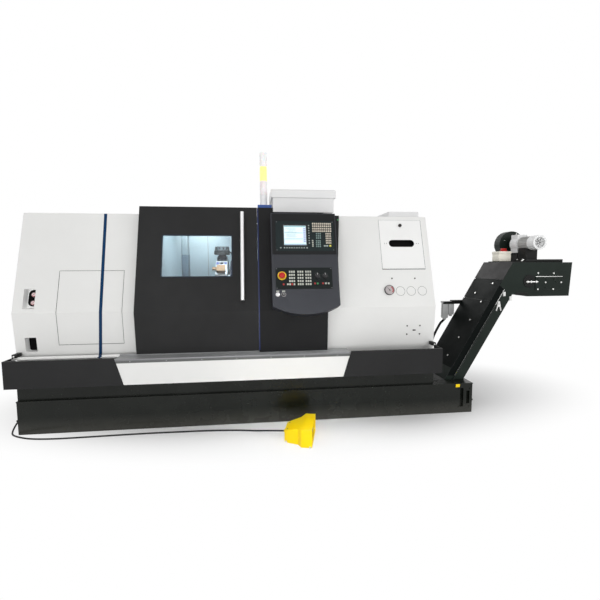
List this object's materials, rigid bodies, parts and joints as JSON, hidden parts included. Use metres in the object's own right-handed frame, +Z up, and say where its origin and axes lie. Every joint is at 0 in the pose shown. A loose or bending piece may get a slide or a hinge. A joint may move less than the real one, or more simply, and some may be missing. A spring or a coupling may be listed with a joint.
{
  "type": "slant-bed turning lathe",
  "caption": "Enclosed slant-bed turning lathe with a sliding door, a turret, a tailstock, a control panel, a swarf conveyor and a foot switch on a cable.",
  "frame": {"origin": "on the floor under the middle of the drip tray's length, halfway back in the enclosure", "axes": "+X along the spindle from the headstock to the tailstock, +Y away from the operator, +Z up"},
  "size_m": [5.434, 2.6762, 2.5584],
  "materials": {
    "dark_paint": "satin powder coat",
    "tank_paint": "gloss paint",
    "white_paint": "satin powder coat",
    "liner_paint": "satin paint",
    "grey_paint": "satin paint",
    "slate_paint": "fine texture paint",
    "cast": "painted casting",
    "steel": "turned and ground",
    "bright": "anodised",
    "gauge_metal": "plated",
    "panel_plastic": "textured",
    "screen_glass": "glossy",
    "key_plastic": "matt",
    "black_plastic": "matt",
    "red_plastic": "glossy",
    "tower_metal": "satin",
    "tower_lens": "glossy",
    "conveyor_paint": "gloss paint",
    "yellow_paint": "gloss paint",
    "treadle_metal": "ribbed",
    "rubber": "matt",
    "window": "clear"
  },
  "bodies": {
    "machine": {"tray_ends": "dark_paint", "column_panel": "dark_paint", "base_tank": "tank_paint", "tray_centre": "white_paint", "headstock_cover": "white_paint", "headstock_panel": "white_paint", "tailstock_cover": "white_paint", "roof_panel": "white_paint", "outer_covers": "white_paint", "roof_box": "white_paint", "electrical_cabinet": "white_paint", "chamber_liner": "liner_paint", "door_rail": "grey_paint", "main_motor": "grey_paint", "gearmotor": "grey_paint", "control_housing": "slate_paint", "bed_casting": "cast", "headstock_casting": "cast", "slat_belt": "steel", "pressure_gauges": "gauge_metal", "operator_panel": "panel_plastic", "machine_panel": "panel_plastic", "screen": "screen_glass", "panel_keys": "key_plastic", "conveyor_wiring": "key_plastic", "cable_gland": "black_plastic", "tower_base": "tower_metal", "tower_lenses": "tower_lens", "conveyor_casing": "conveyor_paint", "conveyor_covers": "conveyor_paint", "chain_guard": "conveyor_paint", "pedal_housing": "yellow_paint", "pedal_cable": "rubber", "drive_belt": "rubber"},
    "door": {"door_panel": "dark_paint", "door_window": "window", "door_handle": "bright"},
    "spindle": {"spindle": "steel", "chuck_body": "steel"},
    "jaw_1": {"jaw_1": "steel"},
    "jaw_2": {"jaw_2": "steel"},
    "jaw_3": {"jaw_3": "steel"},
    "motor_pulley": {"motor_pulley": "steel"},
    "saddle": {"saddle": "cast"},
    "turret_slide": {"turret_slide": "cast"},
    "turret_disc": {"turret_disc": "steel"},
    "live_tool": {"live_tool": "steel"},
    "z_screw": {"z_screw": "steel"},
    "tailstock": {"tailstock_body": "cast"},
    "quill": {"quill": "steel"},
    "head_shaft": {"head_shaft": "steel"},
    "gear_shaft": {"gear_shaft": "steel"},
    "inspection_door": {"inspection_door": "white_paint"},
    "latch": {"latch_knob": "gauge_metal"},
    "estop": {"estop_button": "red_plastic"},
    "feed_knob": {"feed_knob": "black_plastic"},
    "spindle_knob": {"spindle_knob": "black_plastic"},
    "mode_switch": {"mode_switch": "black_plastic"},
    "treadle_left": {"treadle_left": "treadle_metal"},
    "treadle_right": {"treadle_right": "treadle_metal"}
  },
  "joints": [
    {"name": "door_slide", "type": "slide", "parent": "machine", "child": "door", "axis": [-1, 0, 0], "range_m": [0, 0.93]},
    {"name": "spindle_spin", "type": "hinge", "parent": "machine", "child": "spindle", "pos_m": [-0.9, -0.195, 1.08], "axis": [1, 0, 0], "continuous": true},
    {"name": "jaw_1_slide", "type": "slide", "parent": "spindle", "child": "jaw_1", "axis": [0, 0, 1], "range_m": [-0.006, 0.008]},
    {"name": "jaw_2_slide", "type": "slide", "parent": "spindle", "child": "jaw_2", "axis": [0, -0.866, -0.5], "range_m": [-0.006, 0.008]},
    {"name": "jaw_3_slide", "type": "slide", "parent": "spindle", "child": "jaw_3", "axis": [0, 0.866, -0.5], "range_m": [-0.006, 0.008]},
    {"name": "motor_spin", "type": "hinge", "parent": "machine", "child": "motor_pulley", "pos_m": [-1.6, -0.555, 0.62], "axis": [1, 0, 0], "continuous": true},
    {"name": "z_slide", "type": "slide", "parent": "machine", "child": "saddle", "axis": [1, 0, 0], "range_m": [-0.17, 0.45]},
    {"name": "x_slide", "type": "slide", "parent": "saddle", "child": "turret_slide", "axis": [0, -0.866, -0.5], "range_m": [0, 0.3]},
    {"name": "turret_index", "type": "hinge", "parent": "turret_slide", "child": "turret_disc", "pos_m": [-0.205, 0.22069, 1.32], "axis": [1, 0, 0], "continuous": true},
    {"name": "tool_spin", "type": "hinge", "parent": "turret_disc", "child": "live_tool", "pos_m": [-0.205, 0.22069, 1.6], "axis": [0, 0, 1], "continuous": true},
    {"name": "z_screw_spin", "type": "hinge", "parent": "machine", "child": "z_screw", "pos_m": [0.5, 0.23005, 0.78709], "axis": [1, 0, 0], "continuous": true},
    {"name": "tailstock_slide", "type": "slide", "parent": "machine", "child": "tailstock", "axis": [1, 0, 0], "range_m": [-0.4, 0.2]},
    {"name": "quill_slide", "type": "slide", "parent": "tailstock", "child": "quill", "axis": [-1, 0, 0], "range_m": [0, 0.12]},
    {"name": "conveyor_drive", "type": "hinge", "parent": "machine", "child": "head_shaft", "pos_m": [3.27, -0.46, 1.312], "axis": [0, 1, 0], "continuous": true},
    {"name": "gear_drive", "type": "hinge", "parent": "machine", "child": "gear_shaft", "pos_m": [3.09, -0.215, 1.696], "axis": [0, 1, 0], "continuous": true},
    {"name": "inspection_hinge", "type": "hinge", "parent": "machine", "child": "inspection_door", "pos_m": [1.632, -0.6761, 1.43636], "axis": [1, 0, 0], "range_deg": [0, 100]},
    {"name": "latch_turn", "type": "hinge", "parent": "inspection_door", "child": "latch", "pos_m": [1.632, -0.53539, 1.865], "axis": [0, -0.9537, 0.3007], "range_deg": [0, 90]},
    {"name": "estop_press", "type": "slide", "parent": "machine", "child": "estop", "axis": [0, 0.9537, -0.3007], "range_m": [0, 0.004], "stiffness_N_per_m": 1500, "springref_m": -0.002},
    {"name": "feed_turn", "type": "hinge", "parent": "machine", "child": "feed_knob", "pos_m": [0.727, -0.90483, 1.372], "axis": [0, -0.9537, 0.3007], "range_deg": [-150, 150]},
    {"name": "speed_turn", "type": "hinge", "parent": "machine", "child": "spindle_knob", "pos_m": [0.796, -0.90483, 1.372], "axis": [0, -0.9537, 0.3007], "range_deg": [-150, 150]},
    {"name": "mode_turn", "type": "hinge", "parent": "machine", "child": "mode_switch", "pos_m": [0.42, -0.95465, 1.214], "axis": [0, -0.9537, 0.3007], "range_deg": [-45, 45]},
    {"name": "treadle_left_press", "type": "hinge", "parent": "machine", "child": "treadle_left", "pos_m": [0.48307, -1.17134, 0.044], "axis": [0.2334, 0.9724, 0], "range_deg": [0, 9], "stiffness_Nm_per_rad": 20, "springref_deg": -8.59},
    {"name": "treadle_right_press", "type": "hinge", "parent": "machine", "child": "treadle_right", "pos_m": [0.48307, -1.17134, 0.044], "axis": [0.2334, 0.9724, 0], "range_deg": [0, 9], "stiffness_Nm_per_rad": 20, "springref_deg": -8.59}
  ],
  "couplings": [
    {"joint": "jaw_2_slide", "follows": "jaw_1_slide", "ratio": 1},
    {"joint": "jaw_3_slide", "follows": "jaw_1_slide", "ratio": 1},
    {"joint": "motor_spin", "follows": "spindle_spin", "ratio": 1.5556},
    {"joint": "z_screw_spin", "follows": "z_slide", "rad_per_m": 523.6},
    {"joint": "gear_drive", "follows": "conveyor_drive", "ratio": 1.5079}
  ]
}
